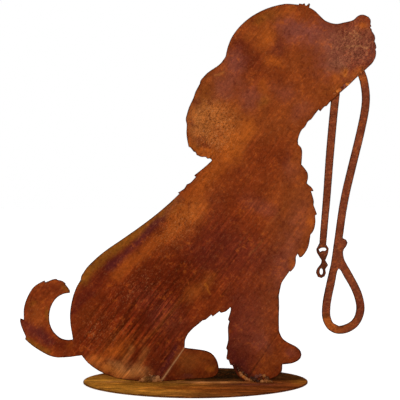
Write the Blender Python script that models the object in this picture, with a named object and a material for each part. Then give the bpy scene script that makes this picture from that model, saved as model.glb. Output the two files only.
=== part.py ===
"""A sitting dog cut from rusted steel sheet, its lead in its mouth, welded upright to a steel plate.

Metres, +Z up. The figure's sheet stands in the XZ plane and faces +X; its front side is -Y.
The origin is on the plate's underside, below the sheet, midway along the plate's width.
"""
import math

import bmesh
import bpy
from mathutils import Vector

# Sizes, in metres
FIGURE_HEIGHT = 0.6045      # from the plate up to the fur on top of the head
SHEET = 0.0025              # thickness of the figure's sheet
PLATE_WIDTH = 0.360
PLATE_FRONT = 0.188         # depth of the plate's front half, from its widest line
PLATE_BACK = 0.171          # depth of its rear half
PLATE_SET_BACK = 0.0105     # how far the widest line lies behind the figure's sheet
PLATE_THICKNESS = 0.0025
LEAD_THICKNESS = 0.0025
STRAP_WIDTH = 0.013
HOOK_END_WIDTH = 0.0112     # the strap's width where it meets the snap hook
WELD_LEG = 0.0085           # height of the weld beads on the plate
TACK_LEG = 0.004            # height of the tack welds at the mouth
GAP = 0.0003                # clearance between touching pieces
FIGURE_FOOT = PLATE_THICKNESS + GAP     # height of the figure's lower edge

# Bends of the two feet
HIND_FOOT_BEND = math.radians(22)       # away from the viewer
FRONT_PAW_BEND = math.radians(-22)      # towards the viewer
BEND_ZONE = 0.006           # width of the strip that each bend is rolled over
BEND_STEPS = 4

# How finely curves are divided
PLATE_STEPS = 96
CURVE_STEP = 6.5            # in units of the drawing
WELD_STEPS = 14
EYE_STEPS = 12
SHARP_ANGLE = math.radians(30)          # edges sharper than this stay sharp in shading
SAME_POINT = 1e-3           # points of the drawing closer than this are one
CUT_MARGIN = 1e-7

# Shape of the plate's outline: 2 is an ellipse, more is fuller, less is slimmer
PLATE_FRONT_FULLNESS = 1.88
PLATE_BACK_FULLNESS = 2.12

# The figure is drawn in millimetres for a height of 604.5, and scales with its height.
# x runs from the middle of the plate towards the nose, z up from the plate.
DRAWING_HEIGHT = 604.5
UNIT = FIGURE_HEIGHT / DRAWING_HEIGHT

# Each outline is a chain of smooth curves. A curve starts where the one before it ends,
# and every joint between two curves is a corner, such as the tip of a lock of fur.
HEAD_TOP = (166, 604)
HEAD_BACK = (
    ((165, 602),),
    ((146, 603.5), (133, 601.5), (120, 598), (104, 591.5), (85, 580), (68, 564), (57, 548), (51, 532),
     (48, 519)),
)
EAR = (
    ((40, 508), (18, 492), (8, 480.5)),
    ((7, 476), (0, 463), (-2.5, 455), (-11, 436), (-15.5, 419)),
    ((-14, 410), (-14.5, 397.5), (-13, 384.5), (-11, 374.5)),
    ((-8, 373.5), (-3, 367)),
    ((0, 366), (2, 361.5), (9.5, 358.5), (16, 358.5)),
    ((19.5, 355.5), (22.5, 356)),
    ((25.5, 354.5), (26, 352.5)),
)
BACK = (
    ((13, 341), (-2, 329)),
    ((0.5, 326.5),),
    ((-8, 317.5), (-14, 314.5)),
    ((-18, 308), (-28, 301.5)),
    ((-26, 299.5),),
    ((-43, 283.5), (-67, 263.5), (-93, 244), (-121, 224.5), (-145.5, 207.5), (-163, 192.5), (-175, 180),
     (-183, 167)),
    ((-183.5, 162.5), (-189, 153), (-196, 135), (-200.5, 110), (-200, 92), (-196, 66.5)),
)
TAIL = (
    ((-206, 66), (-216, 69), (-227, 79), (-232.5, 90.5), (-234, 104), (-231, 119), (-223, 132), (-212, 139),
     (-201, 141)),
    ((-201, 145), (-208, 154.5)),
    ((-207.5, 156),),
    ((-213, 160), (-221, 162)),
    ((-222.5, 163.5),),
    ((-227, 163), (-240, 158)),
    ((-241.5, 161),),
    ((-253, 155), (-261, 148), (-266, 140), (-271, 129), (-274.5, 116), (-274.5, 98)),
    ((-280, 100.5),),
    ((-280.5, 97), (-279, 89), (-271.5, 71)),
    ((-272.5, 67),),
    ((-262, 57.5), (-249.5, 49), (-237, 42), (-224, 38), (-207, 38), (-182, 41)),
)
RUMP = (
    ((-173, 30), (-166, 24), (-152, 15), (-131, 6), (-108, 1.5), (-88, 0)),
)
HIND_HEEL = (-55, 0)
HIND_NOTCH = (-17.5, 53.5)
HIND_FOOT = (
    ((22, 0),),
    ((32, 1), (38.5, 4.5), (41, 11), (40.5, 18), (38, 27), (34, 34.5), (28, 41), (20, 45.5), (4, 49.5),
     HIND_NOTCH),
)
BELLY = (
    ((-17, 58), (-16.5, 65), (-13, 73.5), (-4, 84), (4, 90.5), (11.5, 97)),
    ((16, 98),),
    ((25.5, 106),),
    ((27.5, 103),),
    ((38.5, 111.5),),
    ((40.5, 109),),
    ((48, 111), (56, 118)),
)
FRONT_LEG_BACK = (
    ((56.5, 114.5), (52, 98.5)),
    ((54, 95.5), (52, 87), (52, 64), (49, 52.5)),
    ((51, 49), (49.5, 37.5), (50, 34.5)),
    ((53, 33.5),),
    ((55.5, 26),),
    ((59.5, 25), (60.5, 21)),
    ((64, 14), (70, 6), (77, 0)),
)
FRONT_HEEL = (80, 0)
FRONT_KNEE = (134, 80)
FRONT_PAW = (
    ((106, 0),),
    ((115, 1), (124, 3.5), (134, 8.5), (139.5, 15.5), (140.5, 26.5)),
    ((146.5, 27), (157, 28.5), (165, 32), (170, 36.5), (171.5, 42), (170, 47.5), (163, 54.5), (146.5, 63),
     (138.5, 70), FRONT_KNEE),
)
FRONT_LEG_FRONT = (
    ((133.5, 98.5), (134, 122), (133.5, 136.5)),
    ((136, 149.5), (138, 157), (141, 162), (150.5, 175.5)),
    ((152.5, 175),),
    ((158, 181.5), (160.5, 189), (161, 199), (163.5, 203.5)),
    ((166.5, 197.5),),
    ((170, 198.5), (179.5, 212), (182.5, 223), (184, 234)),
    ((188, 239), (191, 247), (192, 255.5), (191.5, 265)),
)
CHEST = (
    ((194.5, 266.5),),
    ((194, 268), (189, 282)),
    ((189.5, 287), (187.5, 295.5), (185, 303.5)),
    ((189, 304),),
    ((188, 306.5), (185.5, 310), (178.5, 316)),
    ((178.5, 319), (180, 324), (179.5, 332.5), (176, 338.5), (169.5, 346.5)),
    ((170.5, 359), (170.5, 369), (169, 373.5), (164.5, 378.5)),
    ((164, 384), (166, 393), (170, 401.5)),
    ((175.5, 407), (180, 415)),
    ((185, 418.5), (191, 426.5), (197, 434)),
    ((200, 431.5),),
    ((206.5, 439), (210, 440)),
)
JAW = (
    ((215, 446), (223, 452.5), (232, 461.5), (243.5, 471.5), (259, 486.5), (271, 497), (282.5, 508)),
    ((286.5, 514.5), (288.5, 520), (289, 527), (288, 530.5)),
    ((289.5, 533.5), (288, 540), (286.5, 543.5)),
    ((287.5, 548.5), (286.5, 553), (284.5, 556.5)),
    ((282.5, 559.5), (282, 562.5), (279.5, 565.5)),
)
NOSE = (
    ((281.5, 567.5), (280, 570.5)),
    ((280.5, 575), (280, 578.5), (277, 582.5), (270.5, 585.5), (265, 586), (259, 583.5), (253, 578)),
)
FOREHEAD = (
    ((248, 576), (237, 573.5), (226, 571.5), (216, 573), (208, 576.5), (202, 581.5), (192, 591.5), (187, 595),
     (182, 597.5)),
    ((183.5, 602.5), (182, 604.5)),
    ((177.5, 600.5),),
    ((176, 601),),
    ((174.5, 604.5),),
    ((171, 603),),
    (HEAD_TOP,),
)

# The lead, in the same drawing: the middle line of the strap from the snap hook, up behind
# the muzzle and down to the handle
STRAP_LINE = (
    (204, 220), (207, 256), (210, 290), (216, 370), (223, 444), (226, 468), (232, 495), (246, 513),
    (258, 507), (265.5, 493), (270, 479), (273, 455), (271.5, 434), (265, 401), (251.5, 345.5), (241, 301.5),
    (235.5, 272), (229.5, 229.5),
)
HOOK_TAPER = 0.25           # share of the strap's length over which it widens from the hook
HANDLE = (
    ((241.5, 226), (243.5, 221.5), (242, 216.5), (237.5, 210), (236.5, 204), (238.5, 194.5), (250, 173.5),
     (261, 153), (266, 141.5), (269.5, 129), (271, 117.5), (269.5, 106), (264, 93), (256, 84), (247, 78.5),
     (236.5, 75.5), (224, 76), (213, 82), (206.5, 91), (203, 102), (202.5, 113), (204, 128), (207, 144),
     (217, 188)),
)
HANDLE_HOLE = (
    (229.5, 179.5), (239, 165), (248.5, 148.5), (255, 132), (257.5, 117.5), (255, 104), (249, 95.5),
    (240, 90.5), (229.5, 88), (221, 92.5), (216.5, 103), (216, 114), (217.5, 128), (223, 154),
)
SNAP_HOOK = (
    ((209.5, 218.5),),
    ((213.5, 212), (212.5, 204.5), (208, 193)),
    ((210.5, 189), (212.5, 185)),
    ((208, 179), (209, 172.5), (206.5, 167), (201.5, 164.5), (196, 166.5), (193, 173), (194.5, 179),
     (201, 188), (202, 193)),
    ((194.5, 205.5), (193.5, 211), (197.5, 218.5)),
)
SLOT = (
    (197.5, 210.5), (201, 212.5), (207.5, 213), (210, 210.5), (207.5, 208), (203.5, 208.5), (199.5, 206.5),
)
EYE_CENTRE = (201.5, 175)
EYE_WIDTH = 5.4
EYE_HEIGHT = 10

# Weld beads: from x to x along the edge that each joins, in the drawing
RUMP_WELD = (-86.5, -56.5)
LEG_WELD = (90, 115)
REAR_TACK = (217, 229.5)
FRONT_TACK = (260.5, 269.5)
WELD_SECTION = ((0, 0), (1, 0), (0.92, 0.3), (0.66, 0.6), (0.36, 0.88), (0, 1))     # in legs
WELD_END = 0.55             # a bead's size at its ends, as a share of its middle
WELD_DOME = 0.4             # less than 1 makes a bead swell sooner from its ends
WELD_RIPPLE = 0.09
WELD_RIPPLE_TURN = 2.3      # radians of ripple from one section to the next


def clear_scene():
    for thing in list(bpy.data.objects):
        bpy.data.objects.remove(thing, do_unlink=True)


def place(x, z, y=0):
    """A point of the drawing in the model's space, y metres behind the middle of the figure's sheet."""
    return Vector((x * UNIT, y, z * UNIT + FIGURE_FOOT))


def smooth_curve(knots, step=CURVE_STEP, closed=False):
    """Points on one smooth curve through the knots, the first knot left out."""
    pts = [Vector((*k, 0)) for k in knots]
    if len(pts) == 2 and not closed:
        return [tuple(knots[1])]
    count = len(pts) if closed else len(pts) - 1
    out = []
    for i in range(count):
        b = pts[i]
        c = pts[(i + 1) % len(pts)]
        a = pts[i - 1] if closed or i else 2 * b - c
        d = pts[(i + 2) % len(pts)] if closed or i + 2 < len(pts) else 2 * c - b
        ab, bc, cd = [math.sqrt((q - p).length) for p, q in ((a, b), (b, c), (c, d))]
        start = ((b - a) / ab - (c - a) / (ab + bc) + (c - b) / bc) * bc
        end = ((c - b) / bc - (d - b) / (bc + cd) + (d - c) / cd) * bc
        steps = max(1, round((c - b).length / step))
        for j in range(1, steps + 1):
            t = j / steps
            p = ((2 * t ** 3 - 3 * t ** 2 + 1) * b + (t ** 3 - 2 * t ** 2 + t) * start
                 + (3 * t ** 2 - 2 * t ** 3) * c + (t ** 3 - t ** 2) * end)
            out.append((p.x, p.y))
    return out


def trace(start, *chains):
    """The points of chained curves, from the start point on."""
    out = [start]
    for chain in chains:
        for curve in chain:
            out += smooth_curve([out[-1], *curve])
    return out


def drop_repeats(points):
    """The points without any that repeats its neighbour, for a loop whose ends meet."""
    out = []
    for point in points:
        if not out or math.dist(point, out[-1]) > SAME_POINT:
            out.append(point)
    while math.dist(out[0], out[-1]) <= SAME_POINT:
        out.pop()
    return out


def fold_frame(heel, top):
    """A bend's lower end, its direction upwards, and the direction across it towards the toes."""
    low = place(*heel)
    along = (place(*top) - low).normalized()
    across = along.cross(Vector((0, 1, 0)))
    if across.x < 0:
        across.negate()
    return low, along, across


def bend(point, heel, top, angle):
    """Where a point of the flat sheet goes when what lies right of the line heel-top is bent by the angle."""
    low, along, across = fold_frame(heel, top)
    flat = Vector((point.x, 0, point.z)) - low
    distance = flat.dot(across)
    if distance <= 0:
        return point
    rolled = min(distance / BEND_ZONE, 1) * angle
    radius = BEND_ZONE / angle
    side = Vector((radius * math.sin(rolled), radius * (1 - math.cos(rolled))))
    side += max(distance - BEND_ZONE, 0) * Vector((math.cos(rolled), math.sin(rolled)))
    side += point.y * Vector((-math.sin(rolled), math.cos(rolled)))
    return low + along * flat.dot(along) + across * side.x + Vector((0, side.y, 0))


def bend_hind_foot(point):
    return bend(point, HIND_HEEL, HIND_NOTCH, HIND_FOOT_BEND)


def bend_front_paw(point):
    return bend(point, FRONT_HEEL, FRONT_KNEE, FRONT_PAW_BEND)


def leave_flat(point):
    return point


def add_face(bm, points, y, corners):
    """One flat face through points of the drawing; points that are already there are shared."""
    verts = []
    for x, z in points:
        key = (round(x, 4), round(z, 4))
        if key not in corners:
            corners[key] = bm.verts.new(place(x, z, y))
        verts.append(corners[key])
    return bm.faces.new(verts)


def cut_across(bm, face, heel, top):
    """Divides a foot's face by lines parallel to its bend, so that it can be rolled."""
    low, _, across = fold_frame(heel, top)
    region = {face}
    for i in range(1, BEND_STEPS + 1):
        edges = {e for f in region for e in f.edges}
        verts = {v for f in region for v in f.verts}
        cut = bmesh.ops.bisect_plane(bm, geom=[*region, *edges, *verts], dist=CUT_MARGIN,
                                     plane_co=low + across * BEND_ZONE * i / BEND_STEPS, plane_no=across)
        region |= {g for g in cut["geom"] if isinstance(g, bmesh.types.BMFace)}
    return region


def thicken(bm, faces, offset):
    """Turns flat faces into a solid that reaches from them to the offset."""
    grown = bmesh.ops.extrude_face_region(bm, geom=list(faces))
    moved = [g for g in grown["geom"] if isinstance(g, bmesh.types.BMVert)]
    bmesh.ops.translate(bm, verts=moved, vec=offset)
    bmesh.ops.recalc_face_normals(bm, faces=bm.faces)


def rusted(name, colour, roughness, metallic):
    material = bpy.data.materials.new(name)
    material.use_nodes = True
    shader = material.node_tree.nodes["Principled BSDF"]
    shader.inputs["Base Color"].default_value = (*colour, 1)
    shader.inputs["Roughness"].default_value = roughness
    shader.inputs["Metallic"].default_value = metallic
    return material


def make_object(name, bm, material):
    mesh = bpy.data.meshes.new(name)
    bm.to_mesh(mesh)
    bm.free()
    mesh.materials.append(material)
    mesh.shade_smooth()
    mesh.set_sharp_from_angle(angle=SHARP_ANGLE)
    bpy.context.scene.collection.objects.link(bpy.data.objects.new(name, mesh))


def rounded(value, fullness):
    """A cosine or sine reshaped for an outline that is fuller or slimmer than an ellipse."""
    return math.copysign(abs(value) ** (2 / fullness), value)


def base_plate():
    """The round plate, a little fuller behind than in front, as cut by hand."""
    bm = bmesh.new()
    ring = []
    for i in range(PLATE_STEPS):
        turn = 2 * math.pi * i / PLATE_STEPS
        depth, fullness = PLATE_BACK, PLATE_BACK_FULLNESS
        if math.sin(turn) < 0:
            depth, fullness = PLATE_FRONT, PLATE_FRONT_FULLNESS
        x = rounded(math.cos(turn), fullness) * PLATE_WIDTH / 2
        y = rounded(math.sin(turn), fullness) * depth
        ring.append(bm.verts.new((x, y + PLATE_SET_BACK, 0)))
    thicken(bm, [bm.faces.new(ring)], (0, 0, PLATE_THICKNESS))
    make_object("base_plate", bm, rusted("plate_rust", (0.30, 0.12, 0.04), 0.75, 0.3))


def dog_sheet():
    """The figure, one sheet with both feet bent about slanting lines."""
    bm = bmesh.new()
    corners = {}
    y = -SHEET / 2
    outline = trace(HEAD_TOP, HEAD_BACK, EAR, BACK, TAIL, RUMP, ((HIND_HEEL,), (HIND_NOTCH,)), BELLY,
                    FRONT_LEG_BACK, ((FRONT_HEEL,), (FRONT_KNEE,)), FRONT_LEG_FRONT, CHEST, JAW, NOSE,
                    FOREHEAD)
    body = add_face(bm, drop_repeats(outline), y, corners)
    foot = add_face(bm, drop_repeats(trace(HIND_HEEL, HIND_FOOT)), y, corners)
    foot_faces = cut_across(bm, foot, HIND_HEEL, HIND_NOTCH)
    paw = add_face(bm, drop_repeats(trace(FRONT_HEEL, FRONT_PAW)), y, corners)
    paw_faces = cut_across(bm, paw, FRONT_HEEL, FRONT_KNEE)
    foot_places = {(v.co.x, v.co.z) for f in foot_faces for v in f.verts}
    paw_places = {(v.co.x, v.co.z) for f in paw_faces for v in f.verts}
    thicken(bm, {body} | foot_faces | paw_faces, (0, SHEET, 0))
    for vert in bm.verts:
        if (vert.co.x, vert.co.z) in foot_places:
            vert.co = bend_hind_foot(vert.co.copy())
        elif (vert.co.x, vert.co.z) in paw_places:
            vert.co = bend_front_paw(vert.co.copy())
    make_object("dog_sheet", bm, rusted("sheet_rust", (0.24, 0.075, 0.025), 0.8, 0.3))


def strap_edges():
    """The strap's outer edge from the hook to the handle, and its inner edge back."""
    line = [STRAP_LINE[0], *smooth_curve(STRAP_LINE)]
    lengths = [0]
    for a, b in zip(line, line[1:]):
        lengths.append(lengths[-1] + math.dist(a, b))
    outer = []
    inner = []
    for i, (x, z) in enumerate(line):
        before = Vector(line[max(i - 1, 0)])
        direction = (Vector(line[min(i + 1, len(line) - 1)]) - before).normalized()
        widened = min(lengths[i] / lengths[-1] / HOOK_TAPER, 1)
        half = (HOOK_END_WIDTH + (STRAP_WIDTH - HOOK_END_WIDTH) * widened) / 2 / UNIT
        outer.append((x - direction.y * half, z + direction.x * half))
        inner.append((x + direction.y * half, z - direction.x * half))
    return outer, inner[::-1]


def eye_hole():
    """The oval hole of the snap hook."""
    points = []
    for i in range(EYE_STEPS):
        turn = 2 * math.pi * i / EYE_STEPS
        x = EYE_CENTRE[0] + EYE_WIDTH / 2 * math.cos(turn)
        points.append((x, EYE_CENTRE[1] + EYE_HEIGHT / 2 * math.sin(turn)))
    return points


def lead():
    """The lead, one flat piece just behind the figure's sheet."""
    outer, inner = strap_edges()
    outline = outer + trace(outer[-1], HANDLE)[1:] + inner + trace(inner[-1], SNAP_HOOK)[1:]
    slot = smooth_curve(SLOT, CURVE_STEP / 2, closed=True)
    holes = [smooth_curve(HANDLE_HOLE, closed=True), slot, eye_hole()]
    bm = bmesh.new()
    edges = []
    for loop in (outline, *holes):
        verts = [bm.verts.new(place(x, z, SHEET / 2 + GAP)) for x, z in drop_repeats(loop)]
        edges += [bm.edges.new((a, b)) for a, b in zip(verts, verts[1:] + verts[:1])]
    bmesh.ops.triangle_fill(bm, use_beauty=True, use_dissolve=False, edges=edges, normal=(0, -1, 0))
    thicken(bm, bm.faces[:], (0, LEAD_THICKNESS, 0))
    make_object("lead", bm, rusted("lead_rust", (0.17, 0.065, 0.04), 0.8, 0.3))


def weld_bead(name, path, outward, upward):
    """A rippled bead along a path, in the corner between two faces.

    outward and upward lead away from those faces and are as long as the bead's legs.
    """
    bm = bmesh.new()
    rings = []
    for i, point in enumerate(path):
        dome = math.sin(math.pi * i / (len(path) - 1)) ** WELD_DOME
        swell = WELD_END + (1 - WELD_END) * dome + WELD_RIPPLE * math.cos(WELD_RIPPLE_TURN * i)
        rings.append([bm.verts.new(point + (outward * a + upward * b) * swell) for a, b in WELD_SECTION])
    for first, second in zip(rings, rings[1:]):
        for j in range(len(WELD_SECTION)):
            k = (j + 1) % len(WELD_SECTION)
            bm.faces.new((first[j], first[k], second[k], second[j]))
    bm.faces.new(rings[0])
    bm.faces.new(rings[-1][::-1])
    bmesh.ops.recalc_face_normals(bm, faces=bm.faces)
    make_object(name, bm, rusted(name + "_rust", (0.22, 0.08, 0.03), 0.6, 0.5))


def foot_weld(name, first, last, shape):
    """A bead on the plate along the front side of the sheet's lower edge."""
    front = -SHEET / 2 - GAP
    path = []
    for i in range(WELD_STEPS + 1):
        x = first + (last - first) * i / WELD_STEPS
        side = shape(place(x, 0, front))
        path.append(Vector((side.x, side.y, PLATE_THICKNESS + GAP)))
    along = path[-1] - path[0]
    outward = Vector((along.y, -along.x, 0)).normalized() * WELD_LEG
    middle = (first + last) / 2
    upward = shape(place(middle, WELD_LEG / UNIT, front)) - shape(place(middle, 0, front))
    weld_bead(name, path, outward, upward)


def jaw_height(x):
    """The height of the jaw's edge at x, in the drawing."""
    edge = trace(CHEST[-1][-1], JAW[:1])
    for (x0, z0), (x1, z1) in zip(edge, edge[1:]):
        if x0 <= x <= x1:
            return z0 + (z1 - z0) * (x - x0) / (x1 - x0)
    raise ValueError("no jaw above this place")


def mouth_tack(name, first, last):
    """A short bead below the jaw's edge, on the front of the strap."""
    edge = []
    for i in range(WELD_STEPS + 1):
        x = first + (last - first) * i / WELD_STEPS
        edge.append(place(x, jaw_height(x), SHEET / 2))
    along = (edge[-1] - edge[0]).normalized()
    below = Vector((along.z, 0, -along.x))
    weld_bead(name, [point + below * GAP for point in edge], Vector((0, -SHEET, 0)), below * TACK_LEG)


def main():
    clear_scene()
    base_plate()
    dog_sheet()
    lead()
    foot_weld("weld_rump", *RUMP_WELD, leave_flat)
    foot_weld("weld_front_leg", *LEG_WELD, bend_front_paw)
    mouth_tack("weld_strap_rear", *REAR_TACK)
    mouth_tack("weld_strap_front", *FRONT_TACK)


main()
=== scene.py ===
"""Looks of the rusted steel dog: fine meshes over the CAD solids, rust as node materials, a white studio.

Metres, in the frame of the CAD model. Places on the figure are given in millimetres of its sheet,
x towards the nose and z up, and MM turns them into metres.
"""
import math
import random

import bmesh
import bpy
import numpy as np
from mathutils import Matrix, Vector, geometry, kdtree, noise


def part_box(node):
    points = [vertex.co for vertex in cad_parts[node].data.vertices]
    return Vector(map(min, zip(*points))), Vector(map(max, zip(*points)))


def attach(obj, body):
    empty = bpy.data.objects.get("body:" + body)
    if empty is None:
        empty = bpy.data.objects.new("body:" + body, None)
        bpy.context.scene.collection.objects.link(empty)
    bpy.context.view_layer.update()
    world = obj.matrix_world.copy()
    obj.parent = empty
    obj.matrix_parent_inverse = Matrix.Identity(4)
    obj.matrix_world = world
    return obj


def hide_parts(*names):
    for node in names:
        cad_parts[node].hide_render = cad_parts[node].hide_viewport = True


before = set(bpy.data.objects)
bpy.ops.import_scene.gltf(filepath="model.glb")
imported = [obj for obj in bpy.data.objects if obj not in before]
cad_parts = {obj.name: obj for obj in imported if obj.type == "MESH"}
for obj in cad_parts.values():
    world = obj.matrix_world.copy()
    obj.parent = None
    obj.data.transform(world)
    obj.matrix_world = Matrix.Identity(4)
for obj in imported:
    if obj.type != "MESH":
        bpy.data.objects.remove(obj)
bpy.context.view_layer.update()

MM = 0.001

# The figure's sheet and its two bends, as built
SHEET = 2.5 * MM
FLOOR_OF_WELDS = 2.5 * MM   # the top of the plate
BEND_ZONE = 6 * MM
HIND_CREASE = ((-55, 2.8), (-17.5, 56.3))
PAW_CREASE = ((80, 2.8), (134, 82.8))
HIND_BEND = math.radians(22)
PAW_BEND = math.radians(-22)
HIND_REACH = 45             # the hind foot lies left of this x

# How finely the pieces are meshed
SHEET_GRID = 2.15 * MM
LEAD_GRID = 1.5 * MM
PLATE_GRID = 2.6 * MM
EDGE_STEP = 1.9 * MM        # between points along a cut edge
LINE_STEP = 0.8 * MM        # between points along and beside a crease or scratch
LINE_ROWS = 2               # rows of points on each side of it
EDGE_CLEAR = 1.3 * MM       # no inner point is closer to a cut edge than this
CORNER = math.radians(28)   # a cut edge that turns more than this has a corner
BEVEL = 0.4 * MM            # rounding of the cut edges
RAGGED = 0.16 * MM          # roughness of the cut edges
RAGGED_SIZE = 3 * MM
GRID_SHIFT = 0.16           # unevenness of the inner points, as a share of their spacing
ROW_PITCH = math.sqrt(0.75)  # between rows of equal triangles, as a share of the spacing
SAME_POINT = 1e-7           # points closer than this are one
TINY = 1e-9                 # keeps a division by nothing from failing
FACING = 0.6                # a CAD face looks along a direction if its normal has this much of it
SHARP = math.radians(50)    # edges that turn more than this look sharp

# Relief of the rust. Fractal noise is set by its roughness, its step between layers and their number
FRACTAL = (0.9, 2.1, 3)
SCALE_RELIEF = 0.10 * MM
SCALE_SIZE = 7 * MM
SHEET_WAVE = 0.22 * MM
WAVE_SIZE = 90 * MM
FLAT_EDGE = 3 * MM          # the relief fades out this near to a cut edge
RIDGE = (1.1, 0.5)          # half width and height of the hind crease, in millimetres
GROOVE = (1.0, 0.35)        # half width and depth of the front crease

# Paint along the creases: crease, colour, half width in millimetres at the lower end, strength
CREASE_PAINT = (
    # painted highlight on the ridge of the hind crease
    (HIND_CREASE, "crease_highlight", 1.3, 0.75),
    # painted shade and dirt in the groove of the front crease
    (PAW_CREASE, "umber", 1.6, 0.6),
)
CREASE_TAPER = 0.5          # how much narrower it is at the upper end

# How areas and bands are painted: how hard their borders are, how far these are warped and by
# noise of what size, and how strongly noise breaks them up
AREA_FADE = 1.3
BAND_FADE = 2.4
WIDE_WARP = (8 * MM, 26 * MM)
FINE_WARP = (3 * MM, 8 * MM)
BAND_WARP = 0.4             # the bands are warped less
FIELD_SIZES = (5 * MM, 9 * MM, 16 * MM)
FIELD_FRACTAL = (0.7, 2.2, 4)
FIELD_RANGE = 0.6
BROKEN = 1.6
WHOLE_CORE = 1.2            # the stronger an area is at a point, the less it is broken up there
PLAIN_FLECKS = 0.2          # outside the listed areas
PLAIN_STREAKS = 0.22
LEAD_FLECKS, LEAD_STREAKS = 0.5, 0.5
PLATE_FLECKS = 0.4

# Rust of the figure's back: its colours, how many areas, where they lie and how large they are
BACK_COLOURS = ("warm", "brown", "deep", "orange", "maroon", "tan", "dark_red", "ochre")
BACK_AREAS = 40
BACK_X, BACK_Z = (-260, 280), (10, 600)
BACK_LENGTH, BACK_WIDTH = (30, 80), (14, 40)
BACK_TURN = 52
BACK_STRENGTH = (0.3, 0.6)

# Seeds of the relief, the paint, the grid and the back's areas
SHEET_SEED, LEAD_SEED, PLATE_SEED = 3.0, 17.0, 29.0
FRONT_PAINT, BACK_PAINT, LEAD_PAINT, PLATE_PAINT = 11.0, 13.0, 23.0, 31.0
GRID_SEED = 7
BACK_SEED = 4
OTHER_SIDE = 40             # added to a sheet's seed for its rear
OTHER_WARP = 5              # added to a paint's seed for the finer of its two warps
WARP_SEED = 1               # of the vector noise, which starts from the clock without it

# Sizes of the rust's noise, in repeats a metre, and where most of its values lie
BROAD_NOISE = 32
BLOTCH_NOISE = 150
GRAIN_NOISE = 600
WELD_BLOTCH_NOISE = 190
WELD_GRAIN_NOISE = 500
NOISE_RANGE = (0.3, 0.7)
FLECK = (4 * MM, 2 * MM)    # length and width
LONG_STREAK = (1.8, 0.6)    # length and width of the longer streaks, beside the usual ones
THIN_STREAK = (1 / 2, 1 / 3)
RUST_DEPTH = 0.4 * MM       # depth of the finest relief

# What each layer of the rust multiplies the colour by, where its noise is low and where it is high
BROAD_SHADE = (0.86, 1.14)
BLOTCH_SHADE = (0.86, 1.15)
STREAK_SHADE = (0.45, 1.6)
LONG_STREAK_SHADE = (0.35, 1.7)
THIN_STREAK_SHADE = (0.4, 1.6)
GRAIN_SHADE = (0.5, 1.55)

# How strongly the rust is coloured where it is orange or violet and where it has flecks
ORANGE_STRENGTH = 0.4
VIOLET_STRENGTH = 0.45
BRIGHT_STRENGTH = 0.6
DARK_STRENGTH = 0.65


def from_hex(text):
    """A linear colour from six hexadecimal digits, by the sRGB curve."""
    parts = [int(text[i:i + 2], 16) / 255 for i in (0, 2, 4)]
    return tuple(p / 12.92 if p <= 0.04045 else ((p + 0.055) / 1.055) ** 2.4 for p in parts)


# Colours of rust, with one for a painted highlight and one that also serves as painted shade
RUST = {
    "deep": from_hex("561a08"),
    "dark_red": from_hex("66220b"),
    "red_brown": from_hex("752d10"),
    "brown": from_hex("7b3916"),
    "warm": from_hex("8c4418"),
    "orange": from_hex("a65118"),
    "bright": from_hex("c26a1f"),
    "tan": from_hex("a4622f"),
    "ochre": from_hex("7d4a14"),
    "maroon": from_hex("55190f"),
    "purple": from_hex("4a1a1e"),
    "mauve": from_hex("7c4033"),
    "grey": from_hex("80503a"),
    "umber": from_hex("34160a"),
    # near black: dark mill scale, and also the painted shadow of the sheet on the plate behind it
    "scale": from_hex("1c160a"),
    "worn": from_hex("b4774a"),
    "strap": from_hex("70341e"),
    "gold": from_hex("cf8a2e"),
    "sand": from_hex("b47440"),
    "bark": from_hex("874a1e"),
    # light colour of a painted highlight, for the ridge of the hind crease
    "crease_highlight": from_hex("d49a66"),
}

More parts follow.
